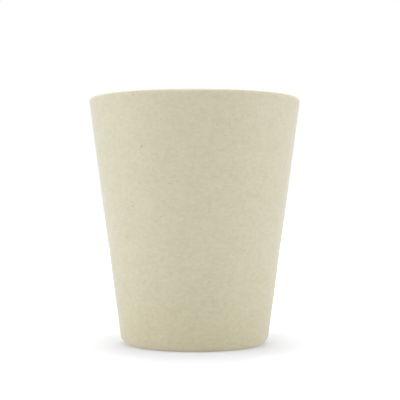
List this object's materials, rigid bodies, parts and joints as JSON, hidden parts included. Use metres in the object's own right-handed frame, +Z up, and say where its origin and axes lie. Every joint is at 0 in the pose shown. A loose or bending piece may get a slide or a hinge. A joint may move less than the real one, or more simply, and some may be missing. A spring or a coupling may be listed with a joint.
{
  "type": "reusable coffee cup",
  "caption": "Tapered reusable coffee cup moulded in pale speckled plant-fibre composite, with a rounded lip, an open bowl and a recessed foot ring, for holding a hot drink.",
  "frame": {"origin": "middle of the foot ring, in the plane that the cup stands on", "axes": "+Z up along the cup's axis; X and Y point anywhere, because the cup is round"},
  "size_m": [0.09, 0.09, 0.105],
  "materials": {
    "plant_fibre_composite": "matte, off-white, with fine tan flecks"
  },
  "bodies": {
    "root": {"cup_body": "plant_fibre_composite"}
  },
  "joints": []
}
